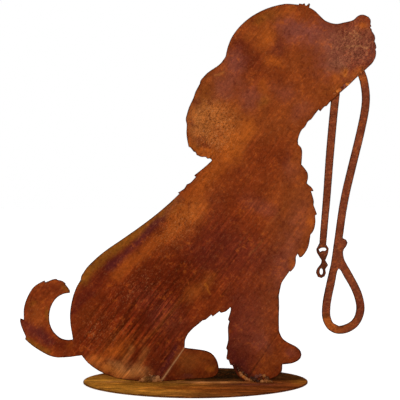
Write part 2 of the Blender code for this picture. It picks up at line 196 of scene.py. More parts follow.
# Areas of the figure's front, each over those before it:
# colour, x, z, half length, half width, turn in degrees, strength
FRONT_AREAS = (
    # body
    ("brown", 159, 235, 128, 61, 80, 0.9),
    ("mauve", 142, 193, 64, 22, 78, 0.4),
    ("mauve", 167, 276, 35, 16, 80, 0.25),
    ("red_brown", 63, 236, 90, 61, 60, 0.6),
    ("deep", -57, 132, 128, 61, 50, 0.95),
    ("deep", -73, 148, 80, 32, 50, 0.5),
    ("dark_red", -137, 124, 70, 58, 50, 0.75),
    ("brown", 150, 320, 50, 50, 0, 0.5),
    ("maroon", 71, 337, 10, 19, 30, 0.4),
    ("mauve", 153, 348, 16, 22, 0, 0.45),
    ("mauve", 100, 284, 13, 32, 60, 0.4),
    ("dark_red", 62, 310, 35, 50, 60, 0.5),
    ("maroon", 30, 241, 40, 16, 50, 0.35),
    ("warm", -6, 262, 61, 22, 45, 0.5),
    ("tan", -18, 267, 32, 10, 42, 0.25),
    ("maroon", -191, 128, 8, 26, 0, 0.5),
    ("maroon", 25, 292, 6, 5, 0, 0.6),
    ("maroon", 60, 256, 8, 5, 30, 0.5),
    ("warm", 1, 150, 22, 21, 40, 0.25),
    ("orange", 1, 147, 13, 13, 40, 0.25),
    ("warm", -167, 104, 22, 29, 60, 0.3),
    ("warm", -137, 72, 29, 16, 30, 0.4),
    ("orange", 161, 360, 8, 18, -10, 0.5),
    ("orange", 183, 254, 5, 11, 0, 0.5),
    ("orange", 153, 190, 5, 10, 0, 0.5),
    ("orange", 167, 206, 6, 5, 0, 0.5),
    ("warm", 18, 161, 6, 18, 10, 0.5),
    ("maroon", 79, 212, 42, 51, 70, 0.3),
    ("dark_red", 26, 273, 19, 22, 50, 0.4),
    ("deep", -156, 92, 51, 42, 50, 0.5),
    ("purple", 81, 209, 29, 80, 65, 0.28),
    ("purple", 25, 193, 22, 64, 60, 0.2),
    ("purple", 23, 283, 26, 22, 50, 0.2),
    ("mauve", -54, 110, 26, 54, 50, 0.15),
    ("deep", -9, 177, 26, 48, 55, 0.35),
    # rump
    ("dark_red", -159, 75, 48, 22, 35, 0.5),
    ("deep", -175, 36, 16, 19, -35, 0.3),
    ("sand", -124, 22, 42, 13, -12, 0.8),
    ("orange", -150, 27, 26, 11, -25, 0.5),
    ("sand", -95, 19, 29, 10, -8, 0.75),
    ("bright", -127, 17, 45, 8, -8, 0.4),
    ("orange", -134, 48, 35, 14, 30, 0.6),
    ("deep", -143, 41, 8, 14, 50, 0.4),
    ("deep", -159, 22, 5, 11, 50, 0.35),
    ("maroon", -47, 40, 51, 19, 55, 0.65),
    # neck and ear
    ("brown", 119, 480, 179, 131, 20, 0.9),
    ("red_brown", 143, 484, 96, 64, 20, 0.6),
    ("warm", 151, 452, 64, 38, 40, 0.25),
    ("dark_red", 119, 364, 43, 30, 0, 0.55),
    ("red_brown", 111, 340, 30, 40, 0, 0.45),
    ("warm", 49, 404, 48, 42, 40, 0.7),
    ("tan", 26, 414, 38, 29, -40, 0.6),
    ("tan", 17, 436, 22, 19, 0, 0.4),
    ("brown", 23, 478, 32, 22, 35, 0.6),
    ("ochre", 17, 465, 22, 13, 35, 0.15),
    ("orange", 33, 414, 38, 26, -40, 0.3),
    ("mauve", 52, 478, 19, 29, -20, 0.5),
    ("maroon", 1, 448, 6, 11, 0, 0.6),
    ("maroon", 7, 388, 8, 6, 0, 0.9),
    ("umber", 2, 377, 11, 6, -20, 0.8),
    ("orange", 18, 368, 18, 5, -22, 0.6),
    ("maroon", 14, 376, 8, 5, 20, 0.6),
    ("tan", 2, 411, 13, 35, 0, 0.35),
    ("maroon", -4, 417, 5, 8, 0, 0.6),
    ("dark_red", 33, 401, 13, 10, 0, 0.4),
    ("orange", 81, 404, 19, 13, 20, 0.6),
    ("orange", 62, 369, 14, 18, 50, 0.5),
    # head
    ("orange", 113, 552, 14, 22, 0, 0.5),
    ("ochre", 110, 584, 24, 10, 10, 0.45),
    ("orange", 151, 593, 14, 8, 0, 0.45),
    ("mauve", 158, 564, 29, 19, -10, 0.75),
    ("purple", 135, 536, 13, 13, 0, 0.4),
    ("maroon", 71, 539, 19, 16, 30, 0.65),
    ("maroon", 87, 513, 29, 21, 0, 0.6),
    ("warm", 86, 555, 16, 8, 20, 0.45),
    ("mauve", 65, 513, 14, 19, 0, 0.6),
    ("orange", 127, 513, 14, 11, 0, 0.45),
    ("orange", 110, 475, 8, 16, 0, 0.4),
    ("ochre", 106, 452, 6, 10, 0, 0.4),
    ("mauve", 199, 555, 35, 18, -20, 0.7),
    ("orange", 202, 545, 8, 13, 0, 0.3),
    ("mauve", 87, 456, 16, 22, 0, 0.5),
    ("warm", 167, 513, 26, 16, 0, 0.3),
    ("mauve", 143, 465, 22, 16, 0, 0.35),
    ("mauve", 167, 433, 22, 13, 40, 0.3),
    # muzzle
    ("mauve", 247, 532, 54, 45, 20, 0.7),
    ("dark_red", 260, 513, 26, 22, 0, 0.3),
    ("grey", 247, 542, 42, 29, 10, 0.4),
    ("strap", 250, 548, 38, 22, 10, 0.35),
    ("maroon", 239, 574, 42, 16, 10, 0.3),
    ("purple", 281, 526, 6, 24, 0, 0.4),
    ("orange", 271, 569, 7, 6, 0, 0.7),
    ("grey", 226, 507, 16, 14, 30, 0.5),
    ("bright", 238, 497, 6, 6, 0, 0.7),
    ("red_brown", 238, 497, 2, 2, 0, 0.9),
    ("orange", 225, 484, 11, 10, 40, 0.5),
    ("warm", 209, 468, 13, 13, 40, 0.4),
    ("orange", 265, 492, 8, 6, 0, 0.6),
    # legs
    ("deep", 66, 81, 26, 77, 0, 0.7),
    ("maroon", 58, 72, 10, 58, 0, 0.6),
    ("dark_red", 90, 113, 40, 58, 0, 0.45),
    ("brown", 116, 92, 19, 48, 0, 0.35),
    ("mauve", 87, 88, 35, 64, 0, 0.28),
    ("maroon", 74, 27, 29, 13, -42, 0.4),
    ("purple", 74, 27, 27, 13, -42, 0.5),
    ("umber", 71, 24, 13, 8, -50, 0.5),
    ("warm", 118, 33, 26, 16, 30, 0.4),
    ("mauve", 151, 46, 13, 8, 0, 0.4),
    ("mauve", 106, 60, 10, 16, 50, 0.3),
    ("brown", 1, 30, 34, 24, 0, 0.7),
    ("warm", 9, 35, 27, 16, 0, 0.55),
    ("bark", -12, 35, 21, 21, 0, 0.6),
    ("red_brown", 7, 17, 13, 6, 0, 0.7),
    ("bright", 26, 19, 6, 4, 0, 0.5),
    ("warm", 15, 40, 13, 8, 0, 0.4),
    ("mauve", -14, 9, 8, 4, 0, 0.5),
    ("maroon", -31, 8, 16, 5, 0, 0.5),
    # tail
    ("brown", -225, 148, 50, 19, 0, 0.5),
    ("maroon", -230, 152, 16, 6, 0, 0.4),
    ("ochre", -209, 152, 5, 8, 0, 0.6),
    ("ochre", -263, 129, 6, 5, 0, 0.5),
    ("warm", -255, 108, 16, 21, 0, 0.5),
    ("red_brown", -274, 115, 5, 13, 0, 0.6),
    ("ochre", -236, 107, 3, 16, 0, 0.5),
    ("purple", -249, 76, 21, 11, -30, 0.4),
    ("maroon", -217, 62, 8, 6, 0, 0.6),
    ("orange", -204, 59, 8, 5, -20, 0.4),
    ("deep", -210, 60, 22, 10, -10, 0.5),
    ("dark_red", -246, 145, 42, 13, 0, 0.4),
)

# Long soft bands of the figure's front: colour, half width, strength, and the points along them
FRONT_BANDS = (
    ("ochre", 10, 0.8, ((-31, 289), (-68, 257), (-103, 233), (-137, 209), (-164, 184), (-178, 166))),
    ("maroon", 10, 0.7, ((-57, 257), (-89, 226), (-116, 203), (-140, 184), (-158, 164), (-182, 141),
      (-191, 123))),
    ("purple", 6, 0.65, ((-23, 294), (-40, 280), (-60, 257), (-89, 230), (-113, 204), (-140, 184))),
    ("orange", 11, 0.4, ((13, 282), (-30, 252), (-67, 222), (-105, 192), (-126, 172))),
    ("maroon", 4, 0.6, ((-163, 148), (-196, 112))),
    ("orange", 16, 0.45, ((66, 384), (28, 339), (-7, 296), (-34, 268))),
    ("warm", 4, 0.35, ((-20, 136), (-89, 58))),
    ("warm", 8, 0.4, ((26, 172), (-9, 136))),
    ("deep", 6, 0.5, ((-46, 146), (-110, 80))),
    ("deep", 6, 0.5, ((-68, 132), (-129, 60))),
    ("tan", 5, 0.4, ((-121, 27), (-103, 56))),
    ("tan", 6, 0.4, ((-97, 22), (-78, 52))),
    ("deep", 4, 0.5, ((-110, 24), (-89, 56))),
    ("purple", 5, 0.6, ((-57, 12), (-31, 56))),
    ("purple", 8, 0.45, ((-274, 94), (-250, 78), (-232, 66))),
    ("ochre", 5, 0.7, ((-268, 68), (-252, 56), (-236, 48))),
    ("orange", 6, 0.6, ((-11, 384), (8, 366), (22, 360))),
    ("warm", 6, 0.6, ((264, 502), (242, 482), (224, 465))),
    ("tan", 1.6, 0.16, ((142, 283), (105, 235))),
    ("tan", 1.6, 0.18, ((108, 227), (87, 203))),
    ("tan", 1.6, 0.5, ((33, 492), (45, 499))),
    ("worn", 1.3, 0.5, ((239, 536), (257, 538), (276, 537))),
    ("worn", 1, 0.5, ((247, 560), (254, 556), (260, 550))),
    ("worn", 1, 0.5, ((254, 563), (260, 559), (266, 552))),
    ("worn", 1, 0.4, ((241, 553), (247, 550), (252, 544))),
    ("bright", 1.1, 0.5, ((15, 158), (25, 143))),
    ("umber", 3, 0.5, ((63, 30), (71, 14), (84, 4))),
    ("maroon", 4, 0.6, ((1, 334), (-28, 304), (-73, 265))),
    ("umber", 1.3, 0.8, ((133, 144), (131, 134))),
    ("umber", 1.3, 0.8, ((131, 124), (132, 115))),
    ("umber", 1.3, 0.7, ((132, 107), (133, 97))),
)

# Areas with bright and dark flecks: x, z, half length, half width, turn, strength
FLECKED = (
    (-97, 152, 61, 27, 30, 0.6),
    (-150, 84, 50, 34, 40, 0.6),
    (-31, 251, 61, 40, 45, 0.6),
    (30, 409, 43, 50, 0, 1),
    (255, 536, 45, 50, 0, 0.9),
    (15, 324, 40, 32, 50, 0.4),
)

# Areas of the other pieces, with the same values in each row
LEAD_AREAS = (
    ("maroon", 262, 126, 10, 20, 0, 0.5),
    ("maroon", 207, 140, 10, 26, 0, 0.3),
    ("orange", 218, 93, 22, 10, -40, 0.7),
    ("umber", 210, 108, 8, 5, 0, 0.7),
    ("umber", 233, 89, 9, 4, 10, 0.6),
    ("warm", 247, 96, 12, 8, 40, 0.4),
    ("umber", 203, 190, 14, 34, 0, 0.6),
    ("orange", 268, 487, 8, 8, 0, 0.6),
)
PLATE_AREAS = (
    ("gold", -105, -70, 110, 130, 0, 0.9),
    ("gold", -165, 10, 50, 60, 0, 0.8),
    ("brown", 130, -70, 90, 120, 0, 0.9),
    ("warm", 60, -100, 60, 30, 0, 0.5),
    ("ochre", 168, 0, 20, 50, 0, 0.8),
    # painted shade and mill scale: the scale areas and the umber one after them darken the plate behind
    # the sheet, where the sheet shades it
    ("scale", 50, 100, 110, 100, 0, 1.0),
    ("scale", 50, 62, 130, 48, 0, 1.0),
    ("umber", -70, 100, 100, 60, 0, 0.6),
    ("sand", -130, -8, 40, 12, 0, 0.5),
    ("sand", 10, -12, 60, 14, 0, 0.8),
    ("orange", -20, -80, 60, 26, 0, 0.6),
    ("orange", 60, -120, 60, 14, 0, 0.5),
    ("mauve", 92, -40, 40, 12, 0, 0.6),
    ("umber", -66, -14, 24, 6, 0, 0.5),
    ("umber", 106, -20, 26, 6, 0, 0.5),
)

# Lumps of weld metal, and tiny lumps on the plate that carry painted glints: x on the sheet, how far out
# of it, height, radius, colour. The height is over the plate for the welds of the feet, and a z on the
# sheet for the tacks.
RUMP_LUMPS = (
    (-76, 3.4, 3.4, 5.6, "ochre"), (-71, 3.0, 3.0, 4.4, "umber"), (-83.5, 1.8, 2.2, 4.0, "sand"),
    (-80, 1.2, 7.0, 2.6, "tan"), (-65, 3.6, 2.6, 4.8, "sand"), (-60, 1.4, 6.4, 3.2, "worn"),
    (-69.5, 1.0, 8.2, 2.2, "worn"), (-65, 0.8, 8.0, 2.0, "umber"), (-57.5, 2.0, 1.8, 3.0, "tan"),
    # the three tiny tan lumps low on the plate, 6 to 9 mm in front of the sheet, are painted glints along
    # the weld's front edge
    (-88.5, 1.0, 1.0, 2.0, "tan"), (-73, 0.6, 10.4, 1.3, "worn"), (-91.5, 2.4, 0.2, 1.0, "tan"),
    (-54, 3.6, 0.2, 1.1, "tan"), (-79, 9.0, 0.1, 1.0, "tan"), (-68, 9.4, 0.1, 0.9, "tan"),
    (-85, 6.4, 0.1, 0.9, "tan"),
)
LEG_LUMPS = (
    (94.5, 1.8, 4.0, 4.0, "umber"), (97.5, 1.4, 8.0, 3.3, "mauve"), (103.5, 1.2, 10.2, 3.0, "mauve"),
    (109.5, 1.2, 9.4, 3.1, "tan"), (114, 1.6, 6.0, 3.5, "umber"), (112.5, 3.8, 2.2, 3.6, "tan"),
    (106, 4.8, 1.0, 3.2, "sand"), (99.5, 4.4, 1.0, 3.0, "umber"), (104.6, 1.6, 5.0, 1.8, "umber"),
    (117.5, 1.8, 1.4, 2.8, "ochre"), (121.5, 1.2, 0.8, 1.6, "tan"), (90, 1.8, 1.0, 2.4, "ochre"),
    # the two tiny tan lumps low on the plate, 6 to 8 mm in front of the sheet, are painted glints along
    # the weld's front edge
    (92, 6.4, 0.1, 1.0, "tan"), (113, 8.0, 0.1, 1.0, "tan"), (86, 1.0, 2.0, 3.0, "tan"),
    (81, 0.8, 4.0, 3.2, "sand"), (77, 0.6, 7.0, 2.8, "bright"), (73.5, 0.5, 9.6, 2.9, "sand"),
    (71.5, 0.3, 13.4, 2.5, "tan"), (69.5, 0.3, 17.0, 2.2, "umber"), (67.5, 0.2, 20.4, 1.9, "umber"),
    (81, 0.2, 10.0, 2.7, "umber"), (89.5, 0.6, 5.6, 2.7, "umber"), (76, 0.2, 14.0, 2.2, "umber"),
)
# the two bright lumps carry painted glints of the tack weld
REAR_TACK_LUMPS = (
    (222, 0.2, 462.5, 2.6, "warm"), (227, 0.4, 466.5, 2.6, "bright"), (230.5, 0.8, 469.0, 3.2, "orange"),
    (234.5, 0.2, 471.5, 2.2, "maroon"), (238.5, 0.4, 475.5, 2.6, "mauve"),
    (242.5, 0.8, 477.5, 3.0, "bright"), (246.5, 0.2, 480.0, 2.0, "warm"),
)
FRONT_TACK_LUMPS = (
    (259.5, 0.2, 492.5, 2.0, "warm"), (263.5, 0.4, 496.5, 2.6, "orange"), (267.5, 0.2, 501.0, 2.3, "warm"),
)
WELD_VOXEL = 0.45 * MM
WELD_ROUGH = 0.35 * MM
WELD_ROUGH_SIZE = 2.2 * MM
LUMP_PAINT = 0.8            # how far a lump's colour reaches, as a share of its radius

# Areas with streaks: x, z, half length, half width, turn, strength
STREAKED = (
    (-90, 90, 130, 75, 50, 1.0),
    (40, 190, 130, 70, 50, 0.6),
    (130, 250, 90, 80, 50, 0.32),
)

# Streaks: their direction on the sheet, and their length and width
STREAK_TURN = math.radians(-52)
SHEET_STREAK = (70 * MM, 6 * MM)
LEAD_STREAK = (12 * MM, 12 * MM)
PLATE_STREAK = (60 * MM, 34 * MM)

# The camera stands where the photograph was taken: level, 2.25 m in front of the sheet
CAMERA_PLACE = (0.00728, -2.25, 0.2924)
PHOTO_WIDTH = 0.640         # what the photograph's width spans at the sheet
SENSOR_WIDTH = 36           # of Blender's camera, in its own millimetres
VIEW_DEPTH = 100            # how far the camera sees

# The studio's lamps: name, place, width and watts
LAMPS = (
    ("key", (-1.1, -2.6, 2.0), 1.6, 18),
    ("fill", (1.8, -2.4, 0.9), 1.4, 5),
)
LAMP_AIM = (0, 0, 0.3)
FLOOR_RADIUS = 40
FLOOR_CORNERS = 96
FLOOR_WHITE = 0.88
FLOOR_ROUGHNESS = 0.9
FLOOR_GLOW = 0.6            # hides the horizon against the white surround
WHITE = (1, 1, 1, 1)

# The surround's light by height: full below the first height, dimmed above the second
DIMMING = {"From Min": 0.25, "From Max": 0.6, "To Min": 1.0, "To Max": 0.45}


def turns(points):
    """The angle by which a closed line turns at each point."""
    into = points - np.roll(points, 1, axis=0)
    out = np.roll(points, -1, axis=0) - points
    cross = into[:, 0] * out[:, 1] - into[:, 1] * out[:, 0]
    return np.arctan2(cross, (into * out).sum(1))


def smoothed(points, step):
    """The closed line with a point about every step, on smooth curves between its corners."""
    corner = np.abs(turns(points)) > CORNER
    count = len(points)
    out = []
    for i in range(count):
        j = (i + 1) % count
        a, b, c, d = points[i - 1], points[i], points[j], points[(j + 1) % count]
        chord = np.linalg.norm(c - b)
        start = c - b
        if not corner[i]:
            start = (c - a) * chord / (np.linalg.norm(b - a) + chord)
        end = c - b
        if not corner[j]:
            end = (d - b) * chord / (np.linalg.norm(d - c) + chord)
        steps = max(1, round(chord / step))
        for t in np.arange(steps) / steps:
            out.append((2 * t ** 3 - 3 * t ** 2 + 1) * b + (t ** 3 - 2 * t ** 2 + t) * start
                       + (3 * t ** 2 - 2 * t ** 3) * c + (t ** 3 - t ** 2) * end)
    return np.array(out)


def inwards(loop):
    """Unit vectors into the material at each point of a loop that has the material on its left."""
    along = np.roll(loop, -1, axis=0) - np.roll(loop, 1, axis=0)
    along /= np.linalg.norm(along, axis=1)[:, None]
    return np.stack((-along[:, 1], along[:, 0]), axis=1)


def ragged(loop, seed):
    """The loop with the slight roughness of a cut edge."""
    shift = [noise.noise(Vector((x / RAGGED_SIZE, z / RAGGED_SIZE, seed))) for x, z in loop]
    return loop + inwards(loop) * (np.array(shift) * RAGGED)[:, None]


def cad_loops(name, facing, across, up):
    """The outlines of a CAD node's faces that look along facing, as arrays of places across and up."""
    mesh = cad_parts[name].data
    facing = Vector(facing)
    corners = [tuple(round(c, 6) for c in v.co) for v in mesh.vertices]
    edges = set()
    for face in mesh.polygons:
        if face.normal.dot(facing) > FACING:
            ring = [corners[i] for i in face.vertices]
            edges |= set(zip(ring, ring[1:] + ring[:1]))
    following = {a: b for a, b in edges if (b, a) not in edges}
    loops = []
    while following:
        first, point = following.popitem()
        ring = [first]
        while point != first:
            ring.append(point)
            point = following.pop(point)
        loops.append(np.array([(p[across], p[up]) for p in ring]))
    return loops


def inside(loops, points):
    """Whether each point lies inside the loops."""
    order = np.argsort(points[:, 1])
    xs, zs = points[order].T
    flags = np.zeros(len(points), bool)
    for loop in loops:
        for (x0, z0), (x1, z1) in zip(loop, np.roll(loop, -1, axis=0)):
            if z0 != z1:
                low, high = np.searchsorted(zs, sorted((z0, z1)))
                cut = x0 + (zs[low:high] - z0) * (x1 - x0) / (z1 - z0)
                flags[low:high] ^= xs[low:high] < cut
    found = np.zeros(len(points), bool)
    found[order] = flags
    return found


def edge_distance(loops, points):
    """How far each point lies from the nearest cut edge."""
    dense = np.concatenate([smoothed(loop, EDGE_STEP / 3) for loop in loops])
    tree = kdtree.KDTree(len(dense))
    for i, (x, z) in enumerate(dense):
        tree.insert((x, z, 0), i)
    tree.balance()
    return np.array([tree.find((x, z, 0))[2] for x, z in points])


def line_points(lines):
    """Rows of points along lines that need a finer mesh."""
    rows = []
    for (x0, z0), (x1, z1) in lines:
        start = np.array((x0, z0)) * MM
        along = np.array((x1 - x0, z1 - z0)) * MM
        length = np.linalg.norm(along)
        side = np.array((-along[1], along[0])) / length
        for t in np.linspace(0, 1, max(2, round(length / LINE_STEP))):
            for row in range(-LINE_ROWS, LINE_ROWS + 1):
                rows.append(start + along * t + side * row * LINE_STEP)
    return np.array(rows)


def line_distance(points, line):
    """How far each point lies from a line, in millimetres, and how far along it, from 0 to 1."""
    start, end = (np.array(p) * MM for p in line)
    along = end - start
    t = np.clip((points - start) @ along / (along @ along), 0, 1)
    return np.linalg.norm(points - start - t[:, None] * along, axis=1) / MM, t


def grid_points(loops, spacing, lines):
    """Points of a slightly uneven grid inside the loops, finer along the lines."""
    low = np.min([loop.min(0) for loop in loops], axis=0)
    high = np.max([loop.max(0) for loop in loops], axis=0)
    rng = np.random.default_rng(GRID_SEED)
    rows = []
    for i, z in enumerate(np.arange(low[1], high[1], spacing * ROW_PITCH)):
        xs = np.arange(low[0] + spacing / 2 * (i % 2), high[0], spacing)
        rows.append(np.stack((xs, np.full_like(xs, z)), axis=1))
    points = np.concatenate(rows)
    points += rng.uniform(-GRID_SHIFT, GRID_SHIFT, points.shape) * spacing
    for line in lines:
        points = points[line_distance(points, line)[0] * MM > (LINE_ROWS + 1) * LINE_STEP]
    if lines:
        points = np.concatenate((points, line_points(lines)))
    points = points[inside(loops, points)]
    return points[edge_distance(loops, points) > EDGE_CLEAR]


def triangulated(loops, inner):
    """Triangles over the loops and the inner points: all points, and the triangles as an array."""
    points = np.concatenate((*loops, inner))
    edges = []
    first = 0
    for loop in loops:
        ring = list(range(first, first + len(loop)))
        edges += list(zip(ring, ring[1:] + ring[:1]))
        first += len(loop)
    coords = [Vector(p) for p in points]
    verts, _, faces, origins, _, _ = geometry.delaunay_2d_cdt(coords, edges, [], 0, SAME_POINT)
    back = [o[0] if o else -1 for o in origins]
    triangles = np.array([[back[i] for i in face] for face in faces])
    triangles = triangles[(triangles >= 0).all(1)]
    centres = points[triangles].mean(1)
    return points, triangles[inside(loops, centres)]


def warped(points, seed, reach, size):
    """The points moved about by smooth noise, so that areas painted at them have uneven borders."""
    moved = [noise.noise_vector(Vector((x / size, z / size, seed)))[:2] for x, z in points]
    return points + np.array(moved) * reach


def uneven_fields(points, seed):
    """Several fields of noise at the points, about -0.5 to 0.5, that break up the areas."""
    fields = []
    for size in FIELD_SIZES:
        places = [Vector((x / size, z / size, seed + size / MM)) for x, z in points]
        fields.append(np.array([noise.fractal(p, *FIELD_FRACTAL) for p in places]) * FIELD_RANGE)
    return fields


def ellipse_weight(places, x, z, half_length, half_width, turn):
    """1 at the middle of an ellipse, fading outwards, for places in millimetres."""
    turn = math.radians(turn)
    dx, dz = places[:, 0] - x, places[:, 1] - z
    u = (dx * math.cos(turn) + dz * math.sin(turn)) / half_length
    v = (dz * math.cos(turn) - dx * math.sin(turn)) / half_width
    return np.exp(-(u * u + v * v) ** AREA_FADE)


def band_weight(places, half_width, line):
    """1 along a line of several points, fading to its sides."""
    away = np.min([line_distance(places * MM, part)[0] for part in zip(line, line[1:])], axis=0)
    return np.exp(-(away / half_width) ** BAND_FADE)


def painted(points, base, areas, bands, seed):
    """The colour of each point: the base with soft areas and bands over it."""
    shade = np.tile(np.array(RUST[base]), (len(points), 1))
    places = warped(warped(points, seed, *WIDE_WARP), seed + OTHER_WARP, *FINE_WARP) / MM
    fields = uneven_fields(points, seed)
    layers = [(colour, strength, ellipse_weight(places, *shape)) for colour, *shape, strength in areas]
    near = places * BAND_WARP + points / MM * (1 - BAND_WARP)
    for colour, width, strength, line in bands:
        layers.append((colour, strength, band_weight(near, width, line)))
    for i, (colour, strength, weight) in enumerate(layers):
        field = fields[i % len(fields)]
        broken = np.clip(weight * (1 + BROKEN * field * (WHOLE_CORE - weight)), 0, 1)
        weight = (broken * strength)[:, None]
        shade = shade * (1 - weight) + np.array(RUST[colour]) * weight
    return shade


def fleck_amount(points, areas):
    """How many bright flecks there are at each point, from 0 to 1."""
    amount = np.full(len(points), PLAIN_FLECKS)
    for *shape, strength in areas:
        amount = np.maximum(amount, ellipse_weight(points / MM, *shape) * strength)
    return amount


def relief(points, seed):
    """Height of the rust and of the sheet's slight waves at each point."""
    heights = []
    for x, z in points:
        wave = noise.noise(Vector((x / WAVE_SIZE, z / WAVE_SIZE, seed)))
        scale = noise.fractal(Vector((x / SCALE_SIZE, z / SCALE_SIZE, seed)), *FRACTAL)
        heights.append(wave * SHEET_WAVE + scale * SCALE_RELIEF)
    return np.array(heights)


def mesh_object(name, verts, faces, material, **attributes):
    """A smooth object with these attributes on its points: arrays of numbers or of colours."""
    mesh = bpy.data.meshes.new(name)
    mesh.from_pydata(verts.tolist(), [], np.asarray(faces).tolist())
    for key, values in attributes.items():
        if values.ndim == 1:
            layer = mesh.attributes.new(key, "FLOAT", "POINT")
            layer.data.foreach_set("value", values.astype(np.float32))
        else:
            layer = mesh.attributes.new(key, "FLOAT_COLOR", "POINT")
            rgba = np.concatenate((values, np.ones((len(values), 1))), axis=1)
            layer.data.foreach_set("color", rgba.astype(np.float32).ravel())
    mesh.materials.append(material)
    mesh.shade_smooth()
    mesh.set_sharp_from_angle(angle=SHARP)
    obj = bpy.data.objects.new(name, mesh)
    bpy.context.scene.collection.objects.link(obj)
    return obj


def flat_depth(points):
    """The middle of a flat sheet: no depth, and its front looks along -Y."""
    depth = np.zeros(len(points))
    return depth, np.tile((0.0, -1.0, 0.0), (len(points), 1))


def bent_depth(points, crease, angle, chosen, depth, normal):
    """Adds a bend to the depth and front normal of the chosen points right of a crease."""
    start, end = (np.array(p) * MM for p in crease)
    along = (end - start) / np.linalg.norm(end - start)
    across = np.array((along[1], -along[0]))
    reach = (points - start) @ across
    chosen = chosen & (reach > 0)
    radius = BEND_ZONE / angle
    rolled = np.arcsin(np.clip(reach / radius, -abs(math.sin(angle)), abs(math.sin(angle))))
    past = np.maximum(reach - radius * math.sin(angle), 0) / math.cos(angle)
    bent = radius * (1 - np.cos(rolled)) + past * math.sin(angle)
    depth[chosen] = bent[chosen]
    turned = np.stack((np.sin(rolled) * across[0], -np.cos(rolled), np.sin(rolled) * across[1]), axis=1)
    normal[chosen] = turned[chosen]


def dog_depth(points):
    """The figure's sheet: flat, with the hind foot bent back and the front paw bent forward."""
    depth, normal = flat_depth(points)
    x, z = points.T / MM
    hind = (x < HIND_REACH) & (z < HIND_CREASE[1][1])
    paw = (x > PAW_CREASE[0][0]) & (z < PAW_CREASE[1][1])
    bent_depth(points, HIND_CREASE, HIND_BEND, hind, depth, normal)
    bent_depth(points, PAW_CREASE, PAW_BEND, paw, depth, normal)
    return depth, normal


def cut_sheet(loops, spacing, lines, depth_of, thickness, middle, seed, ridge=None):
    """A fine solid of cut sheet: its points and faces, and for each point its place on the sheet, its
    side (0 front, 1 back, 0.5 on the cut edge) and its distance from the cut edge in millimetres.

    depth_of gives the middle of the sheet and its front's direction, middle its depth in the frame,
    and ridge, if given, the extra height of the front at each point.
    """
    rims = [ragged(smoothed(loop, EDGE_STEP), seed) for loop in loops]
    faces_rims = [rim + inwards(rim) * BEVEL for rim in rims]
    inner = grid_points(rims, spacing, lines)
    points, triangles = triangulated(faces_rims, inner)
    rim = np.concatenate(rims)
    depth, normal = depth_of(points)
    rim_depth, rim_normal = depth_of(rim)
    fade = np.clip(edge_distance(rims, points) / FLAT_EDGE, 0, 1)
    front_height = thickness / 2 + relief(points, seed) * fade
    if ridge:
        front_height += ridge(points)
    back_height = thickness / 2 + relief(points, seed + OTHER_SIDE) * fade
    shoulder = thickness / 2 - BEVEL

    def placed(flat, deep, out, height):
        solid = np.stack((flat[:, 0], deep + middle, flat[:, 1]), axis=1)
        return solid + out * np.reshape(height, (-1, 1))

    verts = np.concatenate((
        placed(points, depth, normal, front_height),
        placed(rim, rim_depth, rim_normal, shoulder),
        placed(rim, rim_depth, rim_normal, -shoulder),
        placed(points, depth, normal, -back_height),
    ))
    count, edge = len(points), len(rim)
    rings = ((0, count), (count, count + edge), (count + edge, count + 2 * edge))
    faces = [triangles, triangles[:, ::-1] + count + 2 * edge]
    first = 0
    for loop in rims:
        a = np.arange(first, first + len(loop))
        b = np.roll(a, -1)
        for upper, lower in rings:
            faces.append(np.stack((a + upper, a + lower, b + lower), axis=1))
            faces.append(np.stack((a + upper, b + lower, b + upper), axis=1))
        first += len(loop)
    flat = np.concatenate((points, rim, rim, points))
    side = np.concatenate((np.zeros(count), np.full(edge, 0.5), np.full(edge, 0.5), np.ones(count)))
    distance = edge_distance(rims, flat) / MM
    distance[count:count + 2 * edge] = 0
    return verts, np.concatenate(faces), flat, side, distance


class Tree:
    """One material's nodes. put sets or links a socket, and the other methods add a node and return
    its output.
    """

    def __init__(self, name):
        self.material = bpy.data.materials.new(name)
        self.material.use_nodes = True
        self.nodes = self.material.node_tree.nodes
        self.links = self.material.node_tree.links
        self.shader = self.nodes["Principled BSDF"]

    def node(self, kind, sockets, output=0, **settings):
        made = self.nodes.new(kind)
        for key, value in settings.items():
            setattr(made, key, value)
        for key, value in sockets.items():
            self.put(made.inputs[key], value)
        return made.outputs[output]

    def put(self, socket, value):
        if isinstance(value, bpy.types.NodeSocket):
            self.links.new(value, socket)
        else:
            socket.default_value = value

    def place(self):
        return self.node("ShaderNodeTexCoord", {}, "Object")

    def attribute(self, name, output):
        return self.node("ShaderNodeAttribute", {}, output, attribute_name=name)

    def streak_place(self, vector, turn, length, width):
        """Coordinates that are 1 apart along a streak's length and across its width."""
        sockets = {"Vector": vector, "Rotation": (0, turn, 0), "Scale": (length, width, width)}
        return self.node("ShaderNodeMapping", sockets, vector_type="TEXTURE")

    def noise(self, vector, scale, detail=4.0, roughness=0.55, distortion=0.0):
        sockets = {"Vector": vector, "Scale": scale, "Detail": detail, "Roughness": roughness,
                   "Distortion": distortion}
        return self.node("ShaderNodeTexNoise", sockets)

    def ramp(self, value, low, high, start=0.0, end=1.0):
        """The value, eased from start to end as it goes from low to high."""
        sockets = {"Value": value, "From Min": low, "From Max": high, "To Min": start, "To Max": end}
        return self.node("ShaderNodeMapRange", sockets, interpolation_type="SMOOTHSTEP")

    def math(self, operation, a, b=0.0):
        return self.node("ShaderNodeMath", {0: a, 1: b}, operation=operation)

    def mix(self, factor, a, b, blend="MIX"):
        return self.node("ShaderNodeMix", {0: factor, 6: a, 7: b}, 2, data_type="RGBA", blend_type=blend)

    def grey(self, value):
        return self.node("ShaderNodeCombineColor", {0: value, 1: value, 2: value})

    def bump(self, height, strength, distance):
        return self.node("ShaderNodeBump", {"Height": height, "Strength": strength, "Distance": distance})


